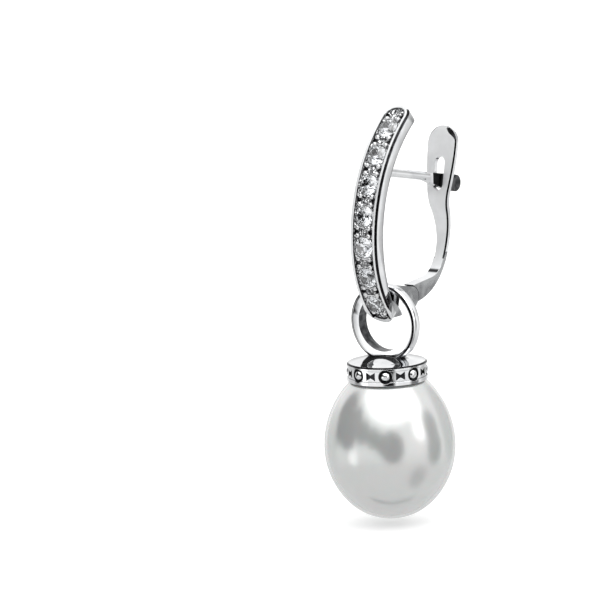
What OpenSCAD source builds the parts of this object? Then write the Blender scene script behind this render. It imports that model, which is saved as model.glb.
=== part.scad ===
/* [Hoop] */
// How far the hoop leans back from upright while the drop hangs plumb
hoop_lean = 12.5; // [6:0.5:15]

/* [Front bar] */
// Angle from level up to the bar's top, round the axis of its upper curve
bar_top_a = 44.5; // [43:0.5:45.5]
// Angle from level down to the bar's tip, round the axis of its lower curve
bar_tip_a = 56; // [52:0.5:57]
// Width of the bar
bar_w = 3; // [2.8:0.05:3.4]
// Depth of the bar, front to back
bar_depth = 1.4; // [1.3:0.05:1.6]
// Radius of the front of the bar's upper curve
bar_curve_r = 14.5; // [14.2:0.1:15]
// Radius of the front of its lower curve, where the bar thins toward the tip
bar_low_r = 10.5; // [10:0.1:12]
// Distance from the middle of the ear post forward to the bar's front
bar_reach = 6.3; // [6.1:0.1:6.5]
// Height of the ear post above the middle of the bar
post_above_mid = 3.9; // [3.5:0.1:4.2]
// Width of the raised rail along each side
rail_w = 0.4; // [0.25:0.05:0.4]
// Height of the rails above the engraved floor
rail_h = 0.16; // [0.08:0.02:0.24]

/* [Stones] */
// Diameter of each round brilliant
stone_d = 1.95; // [1.7:0.05:2]
// Number of stones in the row
stone_count = 7; // [7]
// Distance between neighbouring stones along the front
stone_pitch = 2.9; // [2.8:0.05:2.95]
// Distance from the bar's top along the front to the first stone
first_stone = 2.85; // [2.75:0.05:2.95]

/* [Ear post] */
// Diameter of the round part of the post
post_d = 0.8; // [0.7:0.05:0.9]
// Thickness of the flattened end that passes through the lever
paddle_t = 0.7; // [0.5:0.05:0.8]
// Height of the flattened end
paddle_h = 1.55; // [1.3:0.05:1.6]
// Distance from the middle of the post back to its rounded end
post_reach = 7.75; // [7.3:0.05:7.9]

/* [Lever] */
// Width of the lever's round tab
tab_w = 3.2; // [3:0.05:3.4]
// Width of the lever's arm and of the hinge ears
arm_w = 1.1; // [1.05:0.05:1.2]
// Thickness of the lever's plate
plate_t = 0.45; // [0.35:0.05:0.5]
// Distance from the middle of the post back to the lever's back face
plate_back = 5.12; // [5:0.02:5.3]
// Width of the slot that the post passes through
slot_w = 1.1; // [1:0.05:1.2]

/* [Bail ring] */
// Outer diameter of the ring
ring_d = 7.3; // [7.1:0.05:7.4]
// Thickness of the ring, measured outwards
ring_t = 1.05; // [1:0.05:1.1]
// Depth of the ring, front to back
ring_depth = 1.2; // [1:0.05:1.2]

/* [Cap] */
// Diameter of the cap
cap_d = 7.36; // [7:0.02:7.6]
// Height of the cap's side
cap_h = 1.7; // [1.6:0.05:1.9]
// Number of round bosses in the frieze
boss_count = 8; // [8]

/* [Pearl] */
// Diameter of the pearl
pearl_d = 12; // [11.6:0.1:12.4]
// Height of the pearl below its widest line
pearl_low = 6.75; // [6.4:0.05:7]
// Height of the pearl above its widest line
pearl_high = 7.35; // [7.2:0.05:7.5]

/* [Hidden] */
$fn = 96;
tiny = 0.01;
// How far a cutter runs past the metal
over = 1;
// Axis of the bar's curve, in the hoop's own frame with the post level
arc_y = bar_curve_r - bar_reach;
arc_z = -post_above_mid;
join_a = 14.5;
low_y = arc_y - (bar_curve_r - bar_low_r) * cos(join_a);
low_z = arc_z - (bar_curve_r - bar_low_r) * sin(join_a);
join_s = bar_curve_r * (bar_top_a + join_a) * PI / 180;
bar_s = join_s + bar_low_r * (bar_tip_a - join_a) * PI / 180;
back_r = bar_curve_r - bar_depth;
top_round = 0.8;
back_steep = 0.4;
back_flat = 0.16;
round_past = 0.3;

// Stones: proportions of a round brilliant, as parts of its diameter
stone_r = stone_d / 2;
table_part = 0.56;
star_r = stone_r * 0.76;
crown_h = stone_d * 0.16;
girdle_h = stone_d * 0.03;
pavilion_h = stone_d * 0.42;
pavilion_r = stone_r * 0.24;
seat_gap = 0.03;
girdle_over = 0.02;
girdle_up = girdle_over - rail_h;
half_step = 22.5;

// Engraving between the stones
collar_t = 0.15;
collar_h = 0.07;
collar_root = 0.2;
grain_r = 0.23;
grain_x = 0.62;
grain_s = 0.38;
grain_over = 0.02;
pit_r = 0.42;
pit_x = 0.85;
pit_deep = 0.3;
end_pit_s = 1.45;

// Ear post
paddle_start = 2.3;
paddle_drop = 0.35;
paddle_end_y = post_reach - paddle_h / 2;
paddle_flare = 2.2;
paddle_flare_part = 0.75;
paddle_root_part = 0.45;
post_root = 0.6;

// Hinge, in the hoop's own frame
pin_y = 1.62;
pin_z = -11.16;
pin_r = 0.25;
ear_r = 1;
ear_heel_a = 65;
ear_top_y = -0.75;
ear_low_y = 0.1;
ear_low_z = -12.9;
root_top_y = -3.2;
root_top_z = -10.9;
root_low_y = -2.1;
root_low_z = -12.6;
under_y = -1.5;
under_z = -13.25;
tongue_t = 0.46;
tongue_gap = 0.04;
tongue_r = 0.92;
shoulder_r = 1.06;
shoulder_gap = 0.02;
ear_bore_gap = 0.01;
tongue_bore_gap = 0.03;

// Lever: a bow round bow_y, bow_z, a blend up to the plate and a tighter bend down to the arm
bow_y = 0.6;
bow_z = -5.9;
bow_r = 5.9;
blend_r = 3;
blend_y = plate_back + blend_r;
blend_z = bow_z + sqrt((bow_r + blend_r) ^ 2 - (blend_y - bow_y) ^ 2);
blend_a = atan2(blend_z - bow_z, blend_y - bow_y);
bend_r = 2.15;
bend_a = -21.5;
bend_y = bow_y + (bow_r - plate_t - bend_r) * cos(bend_a);
bend_z = bow_z + (bow_r - plate_t - bend_r) * sin(bend_a);
arm_top_a = -72;
arm_low_a = -70;
arm_top_len = 2.75;
tab_top_z = 4.8;
taper_low_z = -7.2;
taper_top_z = tab_top_z - tab_w / 2;
slot_top_z = 1.95;
slot_low_z = -1.15;
heel_y = 0.4;
heel_z = 0.6;

// Drop: ring centre in the part's frame, everything else hangs below it
drop_y = -4.3;
ring_z = -13;
ring_in_r = ring_d / 2 - ring_t;
ring_edge = 0.42;
saddle_gap = 0.07;
ring_side_gap = 0.12;
ring_out_gap = 0.15;
pearl_z = ring_z - 11.4;
pearl_top_r = 5.18;
pearl_low_r = 5.49;
cap_low_z = pearl_z + 6.15;
cap_top_z = cap_low_z + cap_h;
dome_h = 0.55;
dome_base_r = cap_d / 2 - 0.15;
dome_r = (dome_base_r ^ 2 + dome_h ^ 2) / (2 * dome_h);
rim_low_h = 0.34;
rim_top_h = 0.32;
band_deep = 0.09;
rim_bevel = 0.14;
band_z = (cap_low_z + rim_low_h + cap_top_z - rim_top_h) / 2;
frieze_turn = 33.8;
boss_ball_r = 0.52;
boss_out = 0.07;
boss_ditch_r = 0.64;
boss_ditch_deep = 0.3;
cut_r = 0.44;
cut_deep = 0.26;
cut_turn = 19;
cup_gap = 0.04;
peg_r = 0.45;
peg_len = 4.5;
peg_root = 0.3;
glue_gap = 0.05;

silver = "silver";
clear_stone = "azure";
nacre = "ivory";

stone_names = [for (i = [1 : stone_count]) str("stone_", i)];

// Points of an arc round c, from angle a0 to a1 in steps of about this many degrees
function arc(c, r, a0, a1, step) =
    let (n = max(2, ceil(abs(a1 - a0) / step)))
    [for (i = [0 : n]) let (a = a0 + (a1 - a0) * i / n) [c[0] + r * cos(a), c[1] + r * sin(a)]];
function smooth(t) = let (u = min(1, max(0, t))) u * u * (3 - 2 * u);
function reversed(list) = [for (i = [len(list) - 1 : -1 : 0]) list[i]];
function stone_s(i) = first_stone + i * stone_pitch;

// Turns the hoop's own frame, with the post level, into the part's frame
module leaning() {
    rotate([-hoop_lean, 0, 0]) children();
}

// A profile drawn in depth and height, w wide and centred
module side_plate(w) {
    rotate([90, 0, 90]) linear_extrude(w, center = true) children();
}

// A round bar across the part, centred
module cross_rod(r, w) {
    rotate([0, 90, 0]) cylinder(h = w, r = r, center = true);
}

// A place on the bar's front, s along it from the top, with z pointing out of the bar
module on_bar(s, up) {
    upper = s < join_s;
    r = upper ? bar_curve_r : bar_low_r;
    a = upper ? bar_top_a - s / r * 180 / PI : -join_a - (s - join_s) / r * 180 / PI;
    translate(upper ? [0, arc_y, arc_z] : [0, low_y, low_z]) {
        rotate([90, 0, -90]) rotate([0, 0, a]) translate([r + up, 0, 0]) rotate([0, 90, 0]) children();
    }
}

// A strip w wide along the bar, with half round ends
module strip(w) {
    out = bar_curve_r + 3 * over;
    top = bar_top_a - bar_w / 2 / bar_curve_r * 180 / PI;
    tip = bar_tip_a - bar_w / 2 / bar_low_r * 180 / PI;
    side_plate(w) {
        polygon([
            [arc_y - out * cos(top), arc_z + out * sin(top)], [arc_y, arc_z], [low_y, low_z],
            [low_y - out * cos(tip), low_z - out * sin(tip)], [arc_y - 2 * out, arc_z]
        ]);
    }
    for (s = [bar_w / 2, bar_s - bar_w / 2]) {
        on_bar(s, -bar_depth - over) cylinder(h = bar_depth + 3 * over, r = w / 2);
    }
}

// The bar's front outline seen from the side, moved out by up: two arcs that run into each other,
// with the back corner at the top rounded off
module front_outline(up) {
    end_a = bar_top_a + round_past;
    r = back_r + top_round;
    a = end_a - asin(top_round / r);
    polygon(concat(
        [[arc_y, arc_z - bar_curve_r], [arc_y, arc_z]],
        arc([arc_y - r * cos(a), arc_z + r * sin(a)], top_round, -a, 90 - a, 10),
        arc([arc_y, arc_z], bar_curve_r + up, 180 - end_a, 180 + join_a, 3),
        arc([low_y, low_z], bar_low_r + up, 180 + join_a, 180 + bar_tip_a + 3, 3)
    ));
}

// The hollow behind the bar, with two bevels that take off each of the bar's back edges
module bar_back() {
    translate([0, arc_y, arc_z]) {
        cross_rod(back_r, bar_w + over);
        for (side = [-90, 90], bevel = [[back_flat, back_steep], [back_steep, back_flat]]) {
            depth = bevel[0];
            rise = bevel[1];
            rotate([0, side, 0]) translate([0, 0, bar_w / 2 - 2 * depth]) {
                cylinder(h = 3 * depth, r1 = back_r - rise, r2 = back_r + 2 * rise);
            }
        }
    }
}

module bar_blank() {
    intersection() {
        difference() {
            side_plate(bar_w) front_outline(0);
            bar_back();
        }
        strip(bar_w);
    }
}

module bar_recess() {
    difference() {
        strip(bar_w - 2 * rail_w);
        side_plate(bar_w + over) front_outline(-rail_h);
    }
}

module stone_seat() {
    translate([0, 0, -tiny]) cylinder(h = over, r = stone_r + seat_gap);
    translate([0, 0, -pavilion_h - seat_gap]) {
        cylinder(h = pavilion_h + seat_gap, r1 = seat_gap, r2 = stone_r + seat_gap);
    }
}

// A pair of engraved pits, one beside each rail, with their points toward the middle
module pits(s) {
    for (side = [-1, 1]) {
        on_bar(s, -rail_h - pit_deep) translate([side * pit_x, 0, 0]) {
            rotate([0, 0, side > 0 ? 180 : 0]) cylinder(h = over, r = pit_r, $fn = 3);
        }
    }
}

// Places between the stones, and one beyond the stone at each end
pits_s = concat(
    [stone_s(0) - end_pit_s],
    [for (i = [0 : stone_count - 2]) stone_s(i) + stone_pitch / 2],
    [stone_s(stone_count - 1) + end_pit_s]
);

// Four grains of metal that hold a stone
module grains(s) {
    for (along = [-1, 1], side = [-1, 1]) {
        on_bar(s + along * (stone_pitch / 2 - grain_s), grain_over - rail_h) {
            translate([side * grain_x, 0, 0]) sphere(grain_r);
        }
    }
}

module set_bar() {
    difference() {
        union() {
            difference() {
                bar_blank();
                bar_recess();
            }
            for (i = [0 : stone_count - 1]) {
                on_bar(stone_s(i), -rail_h - collar_root) {
                    cylinder(h = collar_root + collar_h, r = stone_r + collar_t);
                }
            }
        }
        for (s = pits_s) pits(s);
    }
    for (i = [0 : stone_count - 1]) grains(stone_s(i));
}

module post_paddle() {
    low = paddle_drop + paddle_h / 2;
    high = paddle_h / 2 - paddle_drop;
    root = post_d * paddle_root_part;
    side_plate(paddle_t) {
        polygon([
            [paddle_start, -root], [paddle_start + paddle_flare, -low * paddle_flare_part],
            [paddle_end_y, -low], [paddle_end_y, high], [paddle_start, root]
        ]);
        translate([paddle_end_y, -paddle_drop]) circle(paddle_h / 2);
    }
}

module ear_post() {
    start_y = arc_y - back_r - post_root;
    translate([0, start_y, 0]) rotate([-90, 0, 0]) {
        cylinder(h = paddle_start + post_root - start_y, r = post_d / 2);
    }
    post_paddle();
}

module hinge_ears() {
    side_plate(arm_w) {
        polygon([
            [root_top_y, root_top_z], [ear_top_y, pin_z + ear_r], [pin_y, pin_z + ear_r],
            [pin_y, pin_z], [pin_y + ear_r * cos(ear_heel_a), pin_z - ear_r * sin(ear_heel_a)],
            [ear_low_y, ear_low_z], [under_y, under_z], [root_low_y, root_low_z]
        ]);
        translate([pin_y, pin_z]) circle(ear_r);
    }
}

// Room for the bail ring as it swings, down to the saddle that it hangs on
module ring_room() {
    room_w = ring_depth + 2 * ring_side_gap;
    translate([0, drop_y, ring_z]) rotate([90, 0, 0]) difference() {
        cylinder(h = room_w, r = ring_d / 2 + ring_out_gap, center = true);
        cylinder(h = room_w + over, r = ring_in_r - saddle_gap, center = true);
    }
}

module front_bar() {
    color(silver) difference() {
        leaning() {
            difference() {
                union() {
                    set_bar();
                    ear_post();
                    hinge_ears();
                }
                for (i = [0 : stone_count - 1]) on_bar(stone_s(i), girdle_up) stone_seat();
                translate([0, pin_y, pin_z]) {
                    cross_rod(shoulder_r + shoulder_gap, tongue_t + 2 * tongue_gap);
                    cross_rod(pin_r + ear_bore_gap, arm_w + over);
                }
            }
        }
        ring_room();
    }
}

// Points of the brilliant: n of them at radius r and height z, turned by t half steps
function ring_of(n, r, z, t) =
    [for (k = [0 : n - 1]) let (a = 360 * k / n + half_step * t) [r * cos(a), r * sin(a), z]];

// A round brilliant with its girdle's lower edge at z = 0 and its table facing up
module brilliant() {
    table_r = stone_r * table_part;
    crown_slope = crown_h / (stone_r - table_r);
    star_z = girdle_h + crown_h - (star_r * cos(half_step) - table_r) * crown_slope;
    pavilion_z = -pavilion_h + pavilion_r * cos(half_step) * pavilion_h / stone_r;
    points = concat(
        ring_of(8, table_r, girdle_h + crown_h, 0),
        ring_of(8, star_r, star_z, 1),
        ring_of(16, stone_r, girdle_h, 0),
        ring_of(16, stone_r, 0, 0),
        ring_of(8, pavilion_r, pavilion_z, 1),
        [[0, 0, -pavilion_h]]
    );
    // Where each ring of points starts in the list
    star = 8;
    top = 16;
    low = 32;
    pav = 48;
    culet = 56;
    steps = [0 : 7];
    faces = concat(
        [[7, 6, 5, 4, 3, 2, 1, 0]],
        [for (k = steps) [k, (k + 1) % 8, star + k]],
        [for (k = steps) [k, star + k, top + 2 * k, star + (k + 7) % 8]],
        [for (k = steps) [star + k, top + 2 * k + 1, top + 2 * k]],
        [for (k = steps) [star + k, top + (2 * k + 2) % 16, top + 2 * k + 1]],
        [for (j = [0 : 15]) [top + j, top + (j + 1) % 16, low + (j + 1) % 16, low + j]],
        [for (k = steps) [low + 2 * k, low + 2 * k + 1, pav + k]],
        [for (k = steps) [low + 2 * k + 1, low + (2 * k + 2) % 16, pav + k]],
        [for (k = steps) [pav + k, culet, pav + (k + 7) % 8, low + 2 * k]]
    );
    polyhedron(points, faces);
}

module stone(i) {
    color(clear_stone) leaning() on_bar(stone_s(i), girdle_up) brilliant();
}

// The lever seen from the side, from the tab's top down its back and up its front
module lever_side() {
    bow = [bow_y, bow_z];
    blend = [blend_y, blend_z];
    arm_top = [bend_y + bend_r * cos(arm_top_a), bend_z + bend_r * sin(arm_top_a)];
    polygon(concat(
        [[plate_back, tab_top_z + tiny]],
        arc(blend, blend_r, 180, 180 + blend_a, 3),
        arc(bow, bow_r, blend_a, arm_low_a, 3),
        [[pin_y + heel_y, pin_z - heel_z], [pin_y, pin_z]],
        [[arm_top[0] + arm_top_len * sin(arm_top_a), arm_top[1] - arm_top_len * cos(arm_top_a)]],
        arc([bend_y, bend_z], bend_r, arm_top_a, bend_a, 3),
        arc(bow, bow_r - plate_t, bend_a, blend_a, 3),
        arc(blend, blend_r + plate_t, 180 + blend_a, 180, 3),
        [[plate_back - plate_t, tab_top_z + tiny]]
    ));
}

// The lever seen from the front: a round tab that narrows smoothly to the arm
module lever_front() {
    low_z = pin_z - 2 * over;
    steps = 20;
    edge = [for (i = [0 : steps]) let (z = taper_top_z + (taper_low_z - taper_top_z) * i / steps)
        [arm_w / 2 + (tab_w - arm_w) / 2 * smooth((z - taper_low_z) / (taper_top_z - taper_low_z)), z]];
    side = concat(edge, [[arm_w / 2, low_z]]);
    polygon(concat(side, [for (p = reversed(side)) [-p[0], p[1]]]));
    translate([0, taper_top_z]) circle(tab_w / 2);
}

module lever_slot() {
    r = slot_w / 2;
    translate([0, plate_back + over, 0]) rotate([90, 0, 0]) linear_extrude(2 * over) {
        translate([-r, slot_low_z + r]) square([slot_w, slot_top_z - slot_low_z - slot_w]);
        translate([0, slot_top_z - r]) circle(r);
        translate([0, slot_low_z + r]) circle(r);
    }
}

module lever() {
    color(silver) leaning() difference() {
        union() {
            difference() {
                intersection() {
                    side_plate(tab_w + over) lever_side();
                    rotate([90, 0, 0]) linear_extrude(4 * bow_r, center = true) lever_front();
                }
                translate([0, pin_y, pin_z]) cross_rod(shoulder_r, arm_w + over);
                lever_slot();
            }
            intersection() {
                side_plate(tongue_t) lever_side();
                translate([0, pin_y, pin_z]) cross_rod(shoulder_r + over / 3, arm_w);
            }
            translate([0, pin_y, pin_z]) cross_rod(tongue_r, tongue_t);
        }
        translate([0, pin_y, pin_z]) cross_rod(pin_r + tongue_bore_gap, arm_w);
    }
}

module hinge_pin() {
    color(silver) leaning() translate([0, pin_y, pin_z]) cross_rod(pin_r, arm_w);
}

module bail_ring() {
    flat = ring_depth - 2 * ring_edge;
    outer = ring_d / 2;
    translate([0, drop_y, ring_z]) rotate([90, 0, 0]) rotate_extrude() {
        translate([ring_in_r, -ring_depth / 2]) square([ring_t - ring_edge, ring_depth]);
        translate([ring_in_r, -flat / 2]) square([ring_t, flat]);
        for (s = [-1, 1]) translate([outer - ring_edge, s * flat / 2]) circle(ring_edge);
    }
}

module cap_blank() {
    r = cap_d / 2;
    rotate_extrude() {
        polygon([
            [0, cap_low_z], [r, cap_low_z], [r, cap_low_z + rim_low_h],
            [r - band_deep, cap_low_z + rim_low_h], [r - band_deep, cap_top_z - rim_top_h],
            [r, cap_top_z - rim_top_h], [r, cap_top_z - rim_bevel],
            [r - rim_bevel, cap_top_z], [0, cap_top_z]
        ]);
    }
    intersection() {
        translate([0, 0, cap_top_z + dome_h - dome_r]) sphere(dome_r);
        translate([0, 0, cap_top_z - tiny]) cylinder(h = dome_h + over, r = dome_base_r);
    }
}

module around_cap(a, z) {
    rotate([0, 0, frieze_turn - 90 + a]) translate([0, 0, z]) rotate([0, 90, 0]) children();
}

module frieze_cuts() {
    r = cap_d / 2;
    for (i = [0 : boss_count - 1]) {
        around_cap(i * 360 / boss_count, band_z) translate([0, 0, r - boss_ditch_deep]) {
            cylinder(h = over, r = boss_ditch_r);
        }
        for (s = [-1, 1]) {
            around_cap(i * 360 / boss_count + s * cut_turn, band_z) {
                translate([0, 0, r - cut_deep]) {
                    rotate([0, 0, s * 90]) cylinder(h = over, r = cut_r, $fn = 3);
                }
            }
        }
    }
}

module bosses() {
    r = cap_d / 2;
    for (i = [0 : boss_count - 1]) {
        around_cap(i * 360 / boss_count, band_z) {
            translate([0, 0, r + boss_out - boss_ball_r]) sphere(boss_ball_r);
        }
    }
}

// Half of an oval's outline: a side arc and an end arc of radius end, tangent to each other
module half_oval(a, b, end, g) {
    side = (a ^ 2 + b ^ 2 - 2 * b * end) / (2 * (a - end));
    meet = atan2(b - end, side - a);
    far = 2 * b;
    intersection() {
        translate([a - side, 0]) circle(side + g);
        polygon([[0, 0], [far, 0], [far * cos(meet), b - end + far * sin(meet)], [0, b - end]]);
    }
    intersection() {
        translate([0, b - end]) circle(end + g);
        square(far);
    }
}

// The pearl's skin, made larger all round by g
module pearl_body(g) {
    rotate_extrude() {
        half_oval(pearl_d / 2, pearl_high, pearl_top_r, g);
        mirror([0, 1]) half_oval(pearl_d / 2, pearl_low, pearl_low_r, g);
    }
}

module drop_cap() {
    color(silver) union() {
        difference() {
            union() {
                translate([0, drop_y, 0]) {
                    difference() {
                        cap_blank();
                        frieze_cuts();
                    }
                    bosses();
                }
                bail_ring();
            }
            translate([0, drop_y, pearl_z]) pearl_body(cup_gap);
        }
        translate([0, drop_y, pearl_z + pearl_high - peg_len]) {
            cylinder(h = peg_len + peg_root, r = peg_r);
        }
    }
}

module pearl() {
    color(nacre) translate([0, drop_y, pearl_z]) difference() {
        pearl_body(0);
        translate([0, 0, pearl_high - peg_len - glue_gap]) {
            cylinder(h = peg_len + over, r = peg_r + glue_gap);
        }
    }
}

front_bar();
for (i = [0 : stone_count - 1]) {
    stone(i);
}
lever();
hinge_pin();
drop_cap();
pearl();
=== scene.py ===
import math
import bpy
import bmesh
from mathutils import Matrix, Vector


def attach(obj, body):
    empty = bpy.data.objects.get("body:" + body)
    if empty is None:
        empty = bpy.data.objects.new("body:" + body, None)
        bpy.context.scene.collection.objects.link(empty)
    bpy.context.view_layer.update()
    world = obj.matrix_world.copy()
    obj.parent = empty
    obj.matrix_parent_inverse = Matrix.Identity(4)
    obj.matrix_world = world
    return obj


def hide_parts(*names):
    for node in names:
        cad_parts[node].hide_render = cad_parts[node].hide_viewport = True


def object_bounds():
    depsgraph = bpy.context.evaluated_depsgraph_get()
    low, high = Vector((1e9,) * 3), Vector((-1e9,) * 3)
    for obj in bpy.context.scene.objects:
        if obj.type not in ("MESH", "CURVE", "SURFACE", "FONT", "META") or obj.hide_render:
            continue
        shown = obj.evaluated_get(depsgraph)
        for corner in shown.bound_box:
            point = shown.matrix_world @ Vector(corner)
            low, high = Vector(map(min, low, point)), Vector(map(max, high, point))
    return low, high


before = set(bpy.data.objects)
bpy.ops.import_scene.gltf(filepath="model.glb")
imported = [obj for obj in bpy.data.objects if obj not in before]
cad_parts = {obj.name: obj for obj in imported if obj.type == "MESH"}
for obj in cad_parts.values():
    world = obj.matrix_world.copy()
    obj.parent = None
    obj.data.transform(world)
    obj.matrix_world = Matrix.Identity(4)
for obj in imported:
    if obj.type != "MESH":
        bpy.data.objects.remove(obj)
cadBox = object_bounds()
mm = 0.001
dropY = -4.3  # the drop's axis, in millimetres from the origin; the front of the earring is toward -Y

# Camera: a long lens at the photograph's angle, turned a little so the drop leans as it does there.
# The anchor is a point near the pearl's middle, and the pixel of the 600 x 600 frame where it shows
cameraValues = {
    "azimuth": 37.5, "elevation": 10.5, "roll": 2.2,
    "pixelsPerMm": 10.95, "anchorMm": (0, dropY, -24.5), "anchorPixel": (390, 446),
    "imageSide": 600, "distance": 0.8, "sensor": 36, "clip": (0.05, 8)
}


def makeCamera(v):
    azimuth, elevation, roll = (math.radians(v[k]) for k in ("azimuth", "elevation", "roll"))
    right = Vector((math.cos(azimuth), math.sin(azimuth), 0))
    back = Vector((math.sin(azimuth) * math.cos(elevation), -math.cos(azimuth) * math.cos(elevation),
                   math.sin(elevation)))
    up = back.cross(right)
    imageX = right * math.cos(roll) - up * math.sin(roll)
    imageY = right * math.sin(roll) + up * math.cos(roll)
    half = v["imageSide"] / 2
    pixelX, pixelY = v["anchorPixel"]
    aim = (Vector(v["anchorMm"]) + imageX * (half - pixelX) / v["pixelsPerMm"]
           + imageY * (pixelY - half) / v["pixelsPerMm"])
    data = bpy.data.cameras.new("camera")
    data.sensor_width = v["sensor"]
    data.lens = v["sensor"] * v["distance"] / (v["imageSide"] / v["pixelsPerMm"] * mm)
    data.clip_start, data.clip_end = v["clip"]
    camera = bpy.data.objects.new("camera", data)
    bpy.context.scene.collection.objects.link(camera)
    turn = Matrix((imageX, imageY, back)).transposed().to_4x4()
    camera.matrix_world = Matrix.Translation(aim * mm + back * v["distance"]) @ turn
    bpy.context.scene.camera = camera


makeCamera(cameraValues)
print("camera placed")


def toLinear(hexColour):
    # sRGB hex to linear, with the curve's own constants
    channels = [int(hexColour[i:i + 2], 16) / 255 for i in (1, 3, 5)]
    return [c / 12.92 if c <= 0.04045 else ((c + 0.055) / 1.055) ** 2.4 for c in channels] + [1]


def grey(level):
    return (level, level, level, 1)


def addNode(tree, kind, settings=None, inputs=None, stops=()):
    # inputs takes a plain value, or a (node, output) pair that is linked; stops are a colour ramp's
    node = tree.nodes.new(kind)
    for name, value in (settings or {}).items():
        setattr(node, name, value)
    for name, value in (inputs or {}).items():
        if isinstance(value, tuple) and isinstance(value[0], bpy.types.Node):
            tree.links.new(value[0].outputs[value[1]], node.inputs[name])
        else:
            node.inputs[name].default_value = value
    for i, (at, colour) in enumerate(stops):
        points = node.color_ramp.elements
        point = points[i] if i < len(points) else points.new(at)
        point.position = at
        point.color = colour
    return node


def newMaterial(name):
    material = bpy.data.materials.new(name)
    material.use_nodes = True
    material.node_tree.nodes.clear()
    return material, material.node_tree


def inMm(tree):
    # a point's place on its piece, in millimetres
    place = addNode(tree, "ShaderNodeTexCoord")
    return addNode(tree, "ShaderNodeVectorMath", {"operation": "SCALE"},
                   {0: (place, "Object"), "Scale": 1 / mm})


# Silver, cast, polished and rhodium plated: bright and cool, a mirror that waves a little where the buff
# has rounded it. Painted shade darkens its colour in corners and hollows, partly unpolished silver there.
# The buff's hairlines are finer than scratchMm, which is as wide as they need to be to show
silverValues = {
    "bright": "#ECEDEE", "dull": "#DCDDDF", "toneAt": (0.4, 0.6), "metallic": 1,
    "recessShade": "#4A4B4D", "shadeReachMm": 0.4, "shadeAt": (0.35, 0.85),
    "roughness": (0.035, 0.09), "scratchMm": 0.09, "scratchAt": (0.3, 0.75),
    "waveMm": 2.2, "waveHeightMm": 0.004, "edgeMm": 0.05, "cutHeightMm": 0
}

# The same silver between the stones, raised and cut with a graver, so every cut flashes its own way
cutSilverValues = dict(silverValues, bright="#F2F3F4", dull="#858688", recessShade="#48484A",
                       waveMm=0.3, cutMm=0.26, cutHeightMm=0.2)

# The same silver brushed to a satin, on the lever's flat inner face and the rails beside the stones:
# no mirror images, an even pale grey. Its haze scatters light as paint does, so it is part metal only
satinSilverValues = dict(silverValues, bright="#E0E1E2", dull="#D6D7D8",
                         roughness=(0.42, 0.5), metallic=0.4)

# The same silver filed flat, on the hinge, the lever's lower sides and the bar's back edges: a darker
# grey as painted shade on these sides, with a soft sheen
filedSilverPaintedShadeValues = dict(silverValues, bright="#BFC1C2", dull="#949597",
                         waveMm=1.4, roughness=(0.22, 0.34))

# The same silver left as cast where the buff can't reach, inside the bail ring and on the post's end:
# dark grey as painted shade in these closed places, with a blurred sheen
castSilverPaintedShadeValues = dict(silverValues, bright="#6A6B6D", dull="#3C3D3F",
                        waveMm=0.5, roughness=(0.25, 0.45))

# The same silver painted nearly black in fine cuts and along edges, as painted dark reflection and
# shade, with a dull gloss
paintedDarkLineValues = dict(silverValues, bright="#2A2A2C", dull="#121213",
                      waveMm=0.8, roughness=(0.2, 0.35))


def rhodiumPlatedSilver(v, name):
    material, tree = newMaterial(name)
    place = inMm(tree)
    cloud = addNode(tree, "ShaderNodeTexNoise", None,
                    {"Vector": (place, 0), "Scale": 1 / v["waveMm"], "Detail": 3})
    tone = addNode(tree, "ShaderNodeValToRGB", None, {"Fac": (cloud, "Fac")},
                   zip(v["toneAt"], (toLinear(v["dull"]), toLinear(v["bright"]))))
    # Painted shade: the colour darkens toward the recess colour where the surface is closed in
    corner = addNode(tree, "ShaderNodeAmbientOcclusion", {"samples": 6},
                     {"Distance": v["shadeReachMm"] * mm})
    paintedShadeOpenness = addNode(tree, "ShaderNodeValToRGB", None, {"Fac": (corner, "AO")},
                       zip(v["shadeAt"], (grey(0), grey(1))))
    colour = addNode(tree, "ShaderNodeMix", {"data_type": "RGBA"},
                     {0: (paintedShadeOpenness, "Color"), 6: toLinear(v["recessShade"]), 7: (tone, "Color")})
    scratches = addNode(tree, "ShaderNodeTexNoise", None,
                        {"Vector": (place, 0), "Scale": 1 / v["scratchMm"], "Detail": 2})
    roughness = addNode(tree, "ShaderNodeMapRange", None,
                        {"Value": (scratches, "Fac"),
                         "From Min": v["scratchAt"][0], "From Max": v["scratchAt"][1],
                         "To Min": v["roughness"][0], "To Max": v["roughness"][1]})
    edge = addNode(tree, "ShaderNodeBevel", {"samples": 6}, {"Radius": v["edgeMm"] * mm})
    relief = addNode(tree, "ShaderNodeBump", None,
                     {"Strength": 1, "Distance": v["waveHeightMm"] * mm,
                      "Height": (cloud, "Fac"), "Normal": (edge, "Normal")})
    if v["cutHeightMm"]:
        cuts = addNode(tree, "ShaderNodeTexVoronoi", {"feature": "F1"},
                       {"Vector": (place, 0), "Scale": 1 / v["cutMm"], "Randomness": 1})
        relief = addNode(tree, "ShaderNodeBump", None,
                         {"Strength": 1, "Distance": v["cutHeightMm"] * mm,
                          "Height": (cuts, "Distance"), "Normal": (relief, "Normal")})
    shader = addNode(tree, "ShaderNodeBsdfPrincipled", None,
                     {"Base Color": (colour, 2), "Metallic": v["metallic"],
                      "Roughness": (roughness, "Result"), "Normal": (relief, "Normal")})
    addNode(tree, "ShaderNodeOutputMaterial", None, {"Surface": (shader, "BSDF")})
    return material


# Cubic zirconia, cut and polished: colourless, with a higher index than glass, so its facets flash
# white and black side by side
stoneValues = {
    "count": 7, "tint": "#D8DADC", "haze": "#C9CCD0", "hazeMm": 0.5, "hazeAt": (0.3, 0.7),
    "ior": 2.16, "roughness": 0
}


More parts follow.
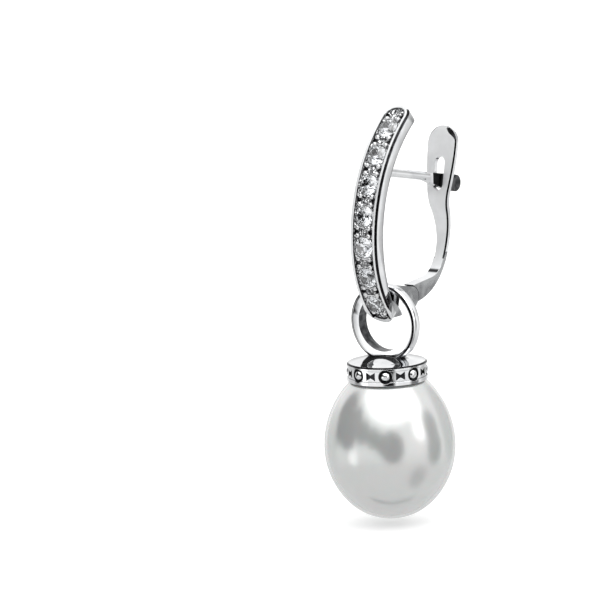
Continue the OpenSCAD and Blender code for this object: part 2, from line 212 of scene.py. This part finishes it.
def cubicZirconia(v):
    material, tree = newMaterial("cubicZirconia")
    place = inMm(tree)
    haze = addNode(tree, "ShaderNodeTexNoise", None,
                   {"Vector": (place, 0), "Scale": 1 / v["hazeMm"], "Detail": 2})
    tone = addNode(tree, "ShaderNodeValToRGB", None, {"Fac": (haze, "Fac")},
                   zip(v["hazeAt"], (toLinear(v["haze"]), toLinear(v["tint"]))))
    shader = addNode(tree, "ShaderNodeBsdfPrincipled", None,
                     {"Base Color": (tone, "Color"), "Transmission Weight": 1,
                      "IOR": v["ior"], "Roughness": v["roughness"]})
    addNode(tree, "ShaderNodeOutputMaterial", None, {"Surface": (shader, "BSDF")})
    return material


# Pearl: nacre, smoothed and highly polished. Its stacked layers mirror about half of the light softly,
# the skin adds a sharper gloss, and the body is a cool silver white with a breath of rose and green.
# The skin's grain is drawn coarser than the real one, to show
pearlValues = {
    "body": "#C2C4C3", "rose": "#C4C3C2", "green": "#BEC3C0", "cloudMm": 6.0, "cloudAt": (0.3, 0.5, 0.7),
    "grainMm": 0.35, "grainHeightMm": 0.0006, "mirror": 0.56, "roughness": 0.2,
    "coatRoughness": 0.12, "coatIor": 1.6, "glow": 0.15, "glowReachMm": 0.8
}


def nacre(v):
    material, tree = newMaterial("polishedNacre")
    place = inMm(tree)
    cloud = addNode(tree, "ShaderNodeTexNoise", None,
                    {"Vector": (place, 0), "Scale": 1 / v["cloudMm"], "Detail": 2})
    tone = addNode(tree, "ShaderNodeValToRGB", None, {"Fac": (cloud, "Fac")},
                   zip(v["cloudAt"], (toLinear(v[k]) for k in ("green", "body", "rose"))))
    grain = addNode(tree, "ShaderNodeTexNoise", None,
                    {"Vector": (place, 0), "Scale": 1 / v["grainMm"], "Detail": 2})
    skin = addNode(tree, "ShaderNodeBump", None,
                   {"Strength": 1, "Distance": v["grainHeightMm"] * mm, "Height": (grain, "Fac")})
    shader = addNode(tree, "ShaderNodeBsdfPrincipled", None,
                     {"Base Color": (tone, "Color"), "Metallic": v["mirror"], "Roughness": v["roughness"],
                      "Coat Weight": 1, "Coat Roughness": v["coatRoughness"], "Coat IOR": v["coatIor"],
                      "Subsurface Weight": v["glow"], "Subsurface Scale": v["glowReachMm"] * mm,
                      "Normal": (skin, "Normal")})
    addNode(tree, "ShaderNodeOutputMaterial", None, {"Surface": (shader, "BSDF")})
    return material


finishes = {
    "polished": rhodiumPlatedSilver(silverValues, "rhodiumPlatedSilver"),
    "cut": rhodiumPlatedSilver(cutSilverValues, "graverCutSilver"),
    "satin": rhodiumPlatedSilver(satinSilverValues, "satinSilver"),
    "filedPaintedShade": rhodiumPlatedSilver(filedSilverPaintedShadeValues, "filedSilverPaintedShade"),
    "castPaintedShade": rhodiumPlatedSilver(castSilverPaintedShadeValues, "asCastSilverPaintedShade"),
    "paintedDark": rhodiumPlatedSilver(paintedDarkLineValues, "paintedDarkReflectionSilver"),
    "zirconia": cubicZirconia(stoneValues),
    "nacre": nacre(pearlValues)
}
print("materials made")

# How every piece is remade: points closer than weldMm become one, and faces within flatAngle of each
# other are joined before a line is cut along their edges
remakeValues = {"weldMm": 0.0001, "flatAngle": 0.4}


def remake(node, body, finishNames, smoothBelow, shape=None):
    # a welded copy of the node's own form, so that it shades smoothly between its edges; shape may
    # cut lines into it and give its faces one of the finishes named, the first being everywhere else
    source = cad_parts[node]
    mesh = bpy.data.meshes.new(node + "_finished")
    form = bmesh.new()
    form.from_mesh(source.data)
    bmesh.ops.remove_doubles(form, verts=form.verts, dist=remakeValues["weldMm"] * mm)
    for face in form.faces:
        face.smooth = True
    if shape:
        shape(form, {name: i for i, name in enumerate(finishNames)})
    for edge in form.edges:
        if len(edge.link_faces) == 2:
            edge.smooth = edge.calc_face_angle(0) < math.radians(smoothBelow)
    form.to_mesh(mesh)
    form.free()
    for name in finishNames:
        mesh.materials.append(finishes[name])
    piece = bpy.data.objects.new(node + "_finished", mesh)
    bpy.context.scene.collection.objects.link(piece)
    piece.matrix_world = source.matrix_world.copy()
    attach(piece, body)
    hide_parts(node)


def joinFlats(form):
    bmesh.ops.dissolve_limit(form, angle_limit=math.radians(remakeValues["flatAngle"]),
                             verts=form.verts, edges=form.edges)


def cutLine(form, edges, wide, index):
    # a flat bevel along these edges, in the finish of that index
    made = bmesh.ops.bevel(form, geom=edges, offset=wide * mm, offset_type="OFFSET", segments=1,
                           profile=0.5, affect="EDGES", clamp_overlap=False)
    for face in made["faces"]:
        face.smooth = True
        face.material_index = index


# Front bar: the sweep of its front, and where each finish starts and ends, in millimetres in the CAD's
# own frame. A line is cut along the edge of its front: a painted dark reflection on the right-hand side,
# satin like the rails elsewhere. The ground between the stones is graver cut, the post's pinched flats
# carry painted dark reflection and shade, its end beyond is as cast in painted shade, and the hinge's
# ears and the back edges are filed, in painted shade. A facing is how much of a face's normal points
# along X
barValues = {
    "lean": 12.5, "width": 3.0, "upperRadius": 14.5, "lowerRadius": 10.5, "upperCentre": (8.2, -3.9),
    "join": 14.5, "topAngle": 44.5, "tipAngle": 56,
    "line": 0.18, "lineTo": -11.6, "lineWithin": 0.04, "lineSharpness": 50, "paintedDarkFacing": 0.45,
    "rail": 0.4, "railEdge": 0.03, "groundHigh": (-0.9, -0.05), "frontWithin": 0.05,
    "backFrom": -0.6, "backFromX": 1.2, "backFacing": (0.6, 0.985),
    "postEndY": 4.85, "pinchFromY": 3.3, "pinchFacing": 0.6,
    "earsFromY": -1.6, "earsBelowZ": -9.3, "earsFacing": 0.7
}


def placeOnBar(point, v):
    # how far a point stands from the bar's middle line, seen from the front, and how high over its front
    lean, join = math.radians(v["lean"]), math.radians(v["join"])
    x, y, z = (c / mm for c in point)
    y, z = y * math.cos(lean) - z * math.sin(lean), y * math.sin(lean) + z * math.cos(lean)
    centreY, centreZ = v["upperCentre"]
    if math.atan2(z - centreZ, centreY - y) >= -join:
        radius, endAngle, toward = v["upperRadius"], v["topAngle"], 1
    else:
        radius, endAngle, toward = v["lowerRadius"], v["tipAngle"], -1
        gap = v["upperRadius"] - v["lowerRadius"]
        centreY, centreZ = centreY - gap * math.cos(join), centreZ - gap * math.sin(join)
    angle = math.atan2(z - centreZ, centreY - y)
    high = math.hypot(centreY - y, z - centreZ) - radius
    beyond = radius * (toward * angle - math.radians(endAngle)) + v["width"] / 2
    return math.hypot(x, max(0, beyond)), high


def finishBar(form, index):
    v = barValues
    half = v["width"] / 2
    joinFlats(form)
    outer = set()
    for vertex in form.verts:
        across, high = placeOnBar(vertex.co, v)
        onEdge = abs(across - half) < v["lineWithin"] and abs(high) < v["lineWithin"]
        if onEdge and vertex.co.z > v["lineTo"] * mm:
            outer.add(vertex)
    edges = [e for e in form.edges if outer.issuperset(e.verts) and len(e.link_faces) == 2
             and e.calc_face_angle(0) > math.radians(v["lineSharpness"])]
    print("bar edges cut:", len(edges))
    # The edge line is painted dark, as a dark reflection, where it faces right
    cutLine(form, edges, v["line"], index["paintedDark"])
    for y in (v["postEndY"], v["pinchFromY"]):
        everything = list(form.verts) + list(form.edges) + list(form.faces)
        bmesh.ops.bisect_plane(form, geom=everything, plane_co=(0, y * mm, 0), plane_no=(0, 1, 0))
    for face in form.faces:
        middle = face.calc_center_median()
        facing = abs(face.normal.x)
        across, high = placeOnBar(middle, v)
        onBack = high < v["backFrom"] and abs(middle.x) > v["backFromX"] * mm
        onEars = middle.y > v["earsFromY"] * mm and middle.z < v["earsBelowZ"] * mm
        if face.material_index == index["paintedDark"]:
            if face.normal.x < v["paintedDarkFacing"]:
                face.material_index = index["satin"]
        elif (across < half - v["rail"] + v["railEdge"]
              and v["groundHigh"][0] < high < v["groundHigh"][1]):
            face.material_index = index["cut"]
        elif across < half and abs(high) < v["frontWithin"]:
            face.material_index = index["satin"]
        # Painted shade: the back edges' sides and, below, the hinge's ears take the darker filed grey
        elif onBack and v["backFacing"][0] < facing < v["backFacing"][1]:
            face.material_index = index["filedPaintedShade"]
        # Painted shade on the post's end, and painted dark reflection and shade on its pinched flats
        elif middle.y > v["postEndY"] * mm:
            face.material_index = index["castPaintedShade"]
        elif middle.y > v["pinchFromY"] * mm and facing > v["pinchFacing"]:
            face.material_index = index["paintedDark"]
        elif onEars and facing > v["earsFacing"]:
            face.material_index = index["filedPaintedShade"]


# Lever: its flat inner face is satin above satinTo and its sides are filed, in painted shade, below
# filedBelow. A line of painted dark reflection is cut round the flat face, but not round the slot, and
# swells inward at the tab's upper corner. sideFacing is read along X, and the other facings along Y
leverValues = {
    "satinTo": -9.1, "filedBelow": -7.6, "innerFacing": -0.6, "sideFacing": 0.7,
    "line": 0.12, "lineTo": -8.6, "lineSideFacing": 0.3, "slot": (0.75, -2.6),
    "tabCentreZ": 2.1, "tabLean": 0.2245, "swell": 0.3, "swellFrom": 15, "swellTo": 90
}


def onRim(edge, v):
    # an outer edge of the lever's flat inner face
    if len(edge.link_faces) != 2 or not edge.is_convex:
        return False
    if min(p.co.z for p in edge.verts) <= v["lineTo"] * mm:
        return False
    inner, side = sorted((f.normal for f in edge.link_faces), key=lambda n: n.y)
    slotX, slotZ = v["slot"]
    onSlot = all(abs(p.co.x) < slotX * mm and p.co.z > slotZ * mm for p in edge.verts)
    return inner.y < v["innerFacing"] and abs(side.y) < v["lineSideFacing"] and not onSlot


def finishLever(form, index):
    v = leverValues
    joinFlats(form)
    edges = [e for e in form.edges if onRim(e, v)]
    print("lever edges cut:", len(edges))
    for face in form.faces:
        z = face.calc_center_median().z
        if face.normal.y < v["innerFacing"] and z > v["satinTo"] * mm:
            face.material_index = index["satin"]
        # Painted shade: the lower sides take the darker filed grey
        elif abs(face.normal.x) > v["sideFacing"] and z < v["filedBelow"] * mm:
            face.material_index = index["filedPaintedShade"]
    # The rim line is painted dark, as a dark reflection
    cutLine(form, edges, v["line"], index["paintedDark"])
    for vertex in form.verts:
        x, z = vertex.co.x / mm, vertex.co.z / mm - v["tabCentreZ"]
        angle = math.degrees(math.atan2(z, x))
        meeting = {index["satin"], index["paintedDark"]}.issubset(f.material_index for f in vertex.link_faces)
        if meeting and v["swellFrom"] < angle < v["swellTo"]:
            along = (angle - v["swellFrom"]) / (v["swellTo"] - v["swellFrom"])
            out = math.hypot(x, z)
            step = Vector((-x / out, 0, -z / out)) * v["swell"] * math.sin(math.pi * along) * mm
            step.y = step.z * v["tabLean"]
            vertex.co += step


# Drop's cap and bail ring: as cast in painted shade inside the ring, painted dark reflection and shade
# along the ring's front edge, the cap's top rim and the frieze's cuts. ringFacing is read along Y,
# rimFacing along Z
capValues = {
    "ringAxis": (dropY, -13.0), "ringInner": 2.62, "ringReach": 0.7, "ringFacing": (-0.92, -0.6),
    "topZ": -16.55, "topWithin": 0.3, "rimFrom": 3.45, "rimFacing": (0.2, 0.95),
    "friezeZ": (-18.0, -16.8), "cutFloor": (2.6, 3.57)
}


def finishCap(form, index):
    v = capValues
    axisY, axisZ = v["ringAxis"]
    for face in form.faces:
        x, y, z = (c / mm for c in face.calc_center_median())
        out = math.hypot(x, y - axisY)
        onTop = abs(z - v["topZ"]) < v["topWithin"]
        # Painted shade inside the ring; painted dark reflection and shade on the edges and cuts below
        if math.hypot(x, z - axisZ) < v["ringInner"] and abs(y - axisY) < v["ringReach"]:
            face.material_index = index["castPaintedShade"]
        elif (z > v["topZ"] + v["topWithin"]
              and v["ringFacing"][0] < face.normal.y < v["ringFacing"][1]):
            face.material_index = index["paintedDark"]
        elif out > v["rimFrom"] and onTop and v["rimFacing"][0] < face.normal.z < v["rimFacing"][1]:
            face.material_index = index["paintedDark"]
        elif v["friezeZ"][0] < z < v["friezeZ"][1] and v["cutFloor"][0] < out < v["cutFloor"][1]:
            face.material_index = index["paintedDark"]


remake("front_bar", "hoop", ["polished", "cut", "paintedDark", "castPaintedShade", "filedPaintedShade", "satin"],
       smoothBelow=30, shape=finishBar)
remake("lever", "lever", ["polished", "satin", "paintedDark", "filedPaintedShade"],
       smoothBelow=28, shape=finishLever)
# Painted shade: the hinge pin takes the darker filed grey all over
remake("hinge_pin", "hoop", ["filedPaintedShade"], smoothBelow=28)
remake("drop_cap", "drop", ["polished", "castPaintedShade", "paintedDark"], smoothBelow=28, shape=finishCap)
remake("pearl", "drop", ["nacre"], smoothBelow=40)
for i in range(stoneValues["count"]):
    remake(f"stone_{i + 1}", "hoop", ["zirconia"], smoothBelow=1)
print("pieces finished")

# Floor: a large light table of matt white acrylic just under the drop, lit from below, which gives an
# even white ground with one faint shadow
floorValues = {
    "colour": "#E4E4E4", "roughness": 0.9, "gloss": 0.1, "litFromBelow": 0.45,
    "belowMm": 0.6, "radius": 1.6, "sides": 64
}


def makeFloor(v):
    material, tree = newMaterial("whiteAcrylic")
    colour = toLinear(v["colour"])
    shader = addNode(tree, "ShaderNodeBsdfPrincipled", None,
                     {"Base Color": colour, "Roughness": v["roughness"], "Specular IOR Level": v["gloss"],
                      "Emission Color": colour, "Emission Strength": v["litFromBelow"]})
    addNode(tree, "ShaderNodeOutputMaterial", None, {"Surface": (shader, "BSDF")})
    mesh = bpy.data.meshes.new("floor")
    form = bmesh.new()
    bmesh.ops.create_circle(form, cap_ends=True, segments=v["sides"], radius=v["radius"])
    form.to_mesh(mesh)
    form.free()
    mesh.materials.append(material)
    floor = bpy.data.objects.new("floor", mesh)
    floor.location = (0, 0, cadBox[0].z - v["belowMm"] * mm)
    bpy.context.scene.collection.objects.link(floor)
    floor.visible_glossy = False


# Studio light, as metal and pearl see it: a white tent with a softbox overhead, the dark round the
# camera, and a few dark gaps. The tent is as bright as below, level and above say at the three heights,
# from 0 straight down to 1 straight up; soft is what it gives to matt surfaces. Each patch has a place
# (azimuth, elevation), a radius and an edge in degrees, and a brightness; azimuth runs from +X toward +Y.
# The fold is where the tent's sheet bends behind the floor, which the pearl mirrors as a thin dark curve
# low on its front
tentValues = {
    "below": 0.8, "level": 1.12, "above": 1.12, "heights": (0.3, 0.45, 0.8),
    "seenByCamera": 1.0, "soft": 1.06,
    "patches": [
        {"at": (-44, 72), "radius": 40, "edge": 10, "light": 2.8},
        {"at": (8, 48), "radius": 16, "edge": 10, "light": 3.0},
        {"at": (6, 18), "radius": 11, "edge": 7, "light": 2.6},
        {"at": (-123, -11), "radius": 8, "edge": 5, "light": 1.8},
        {"at": (-49, 1), "radius": 20, "edge": 5, "light": 0.01},
        {"at": (-84, 12), "radius": 11, "edge": 7, "light": 0.05},
        {"at": (-106, 17), "radius": 13, "edge": 6, "light": 0.03},
        {"at": (-66, 5), "radius": 13, "edge": 5, "light": 0.05},
        {"at": (-134, 10), "radius": 16, "edge": 5, "light": 0.02},
        {"at": (-126, 29), "radius": 11, "edge": 4, "light": 0.05},
        {"at": (-154, 23), "radius": 20, "edge": 6, "light": 0.02},
        {"at": (31, 14), "radius": 14, "edge": 6, "light": 0.2},
        {"at": (32, -7), "radius": 15, "edge": 6, "light": 0.2},
        {"at": (79, 4), "radius": 22, "edge": 8, "light": 0.6},
        {"at": (128, -12), "radius": 20, "edge": 9, "light": 0.72},
        {"at": (178, -6), "radius": 18, "edge": 8, "light": 0.75},
        {"at": (172, 54), "radius": 8, "edge": 5, "light": 0.06},
        {"at": (5, -40), "radius": 13, "edge": 6, "light": 0.4}
    ],
    "fold": {"at": (-52, 10), "radius": 98, "edge": 3.5, "light": 0.05, "belowHeight": (-0.86, -0.95)}
}


def direction(azimuth, elevation):
    a, e = math.radians(azimuth), math.radians(elevation)
    return (math.cos(a) * math.cos(e), math.sin(a) * math.cos(e), math.sin(e))


def addPatch(tree, way, colour, patch):
    near = addNode(tree, "ShaderNodeVectorMath", {"operation": "DOT_PRODUCT"},
                   {0: (way, "Generated"), 1: direction(*patch["at"])})
    inside = addNode(tree, "ShaderNodeMapRange", {"interpolation_type": "SMOOTHSTEP"},
                     {"Value": (near, "Value"),
                      "From Min": math.cos(math.radians(patch["radius"] + patch["edge"])),
                      "From Max": math.cos(math.radians(patch["radius"] - patch["edge"]))})
    mixed = addNode(tree, "ShaderNodeMix", {"data_type": "RGBA"},
                    {0: (inside, "Result"), 6: colour, 7: grey(patch["light"])})
    return (mixed, 2)


def addFold(tree, way, parts, colour, fold):
    near = addNode(tree, "ShaderNodeVectorMath", {"operation": "DOT_PRODUCT"},
                   {0: (way, "Generated"), 1: direction(*fold["at"])})
    side = addNode(tree, "ShaderNodeMath", {"operation": "SUBTRACT"},
                   {0: (near, "Value"), 1: math.cos(math.radians(fold["radius"]))})
    away = addNode(tree, "ShaderNodeMath", {"operation": "ABSOLUTE"}, {0: (side, 0)})
    line = addNode(tree, "ShaderNodeMapRange", {"interpolation_type": "SMOOTHSTEP"},
                   {"Value": (away, 0), "From Min": math.radians(fold["edge"]), "From Max": 0})
    low = addNode(tree, "ShaderNodeMapRange", {"interpolation_type": "SMOOTHSTEP"},
                  {"Value": (parts, "Z"), "From Min": fold["belowHeight"][0],
                   "From Max": fold["belowHeight"][1]})
    both = addNode(tree, "ShaderNodeMath", {"operation": "MULTIPLY"},
                   {0: (line, "Result"), 1: (low, "Result")})
    mixed = addNode(tree, "ShaderNodeMix", {"data_type": "RGBA"},
                    {0: (both, 0), 6: colour, 7: grey(fold["light"])})
    return (mixed, 2)


def makeTent(v):
    world = bpy.data.worlds.new("tent")
    bpy.context.scene.world = world
    world.use_nodes = True
    tree = world.node_tree
    tree.nodes.clear()
    way = addNode(tree, "ShaderNodeTexCoord")
    parts = addNode(tree, "ShaderNodeSeparateXYZ", None, {0: (way, "Generated")})
    height = addNode(tree, "ShaderNodeMapRange", None,
                     {"Value": (parts, "Z"), "From Min": -1, "From Max": 1})
    light = addNode(tree, "ShaderNodeValToRGB", None, {"Fac": (height, "Result")},
                    zip(v["heights"], (grey(v[k]) for k in ("below", "level", "above"))))
    colour = (light, "Color")
    for patch in v["patches"]:
        colour = addPatch(tree, way, colour, patch)
    colour = addFold(tree, way, parts, colour, v["fold"])
    ray = addNode(tree, "ShaderNodeLightPath")
    lit = addNode(tree, "ShaderNodeMix", {"data_type": "RGBA"},
                  {0: (ray, "Is Diffuse Ray"), 6: colour, 7: grey(v["soft"])})
    seen = addNode(tree, "ShaderNodeMix", {"data_type": "RGBA"},
                   {0: (ray, "Is Camera Ray"), 6: (lit, 2), 7: grey(v["seenByCamera"])})
    glow = addNode(tree, "ShaderNodeBackground", None, {"Color": (seen, 2), "Strength": 1})
    addNode(tree, "ShaderNodeOutputWorld", None, {"Surface": (glow, "Background")})


# A small card of black felt beside the pearl, in millimetres from the drop's axis. It shows in the
# pearl's gloss alone, as a soft dark patch that fades toward its edges
cardValues = {
    "azimuth": -145, "away": 30, "bottom": -30, "top": -4, "wide": 22, "light": "#202020", "fade": 0.2
}


def makeCard(v):
    material, tree = newMaterial("blackFelt")
    place = addNode(tree, "ShaderNodeTexCoord")
    parts = addNode(tree, "ShaderNodeSeparateXYZ", None, {0: (place, "UV")})
    edges = []
    for axis in ("X", "Y"):
        inward = addNode(tree, "ShaderNodeMath", {"operation": "PINGPONG"}, {0: (parts, axis), 1: 0.5})
        edges.append(addNode(tree, "ShaderNodeMapRange", {"interpolation_type": "SMOOTHSTEP"},
                             {"Value": (inward, 0), "From Min": 0, "From Max": v["fade"] * 2}))
    cover = addNode(tree, "ShaderNodeMath", {"operation": "MULTIPLY"},
                    {0: (edges[0], "Result"), 1: (edges[1], "Result")})
    felt = addNode(tree, "ShaderNodeEmission", None, {"Color": toLinear(v["light"]), "Strength": 1})
    clear = addNode(tree, "ShaderNodeBsdfTransparent")
    shader = addNode(tree, "ShaderNodeMixShader", None,
                     {0: (cover, 0), 1: (clear, "BSDF"), 2: (felt, "Emission")})
    addNode(tree, "ShaderNodeOutputMaterial", None, {"Surface": (shader, "Shader")})
    out = Vector(direction(v["azimuth"], 0))
    side = Vector((-out.y, out.x, 0)) * v["wide"] / 2
    middle = Vector((0, dropY, 0)) + out * v["away"]
    uvs = ((0, 0), (1, 0), (1, 1), (0, 1))
    heights = (v["bottom"], v["top"])
    corners = [middle + side * (2 * s - 1) + Vector((0, 0, heights[t])) for s, t in uvs]
    mesh = bpy.data.meshes.new("darkCard")
    mesh.from_pydata([c * mm for c in corners], [], [(0, 1, 2, 3)])
    layer = mesh.uv_layers.new(name="UVMap")
    for loop, uv in zip(layer.data, uvs):
        loop.uv = uv
    mesh.materials.append(material)
    card = bpy.data.objects.new("darkCard", mesh)
    bpy.context.scene.collection.objects.link(card)
    card.visible_camera = card.visible_diffuse = card.visible_shadow = card.visible_transmission = False


makeFloor(floorValues)
makeTent(tentValues)
makeCard(cardValues)
bpy.context.scene.view_settings.view_transform = "Standard"
print("floor and light set")
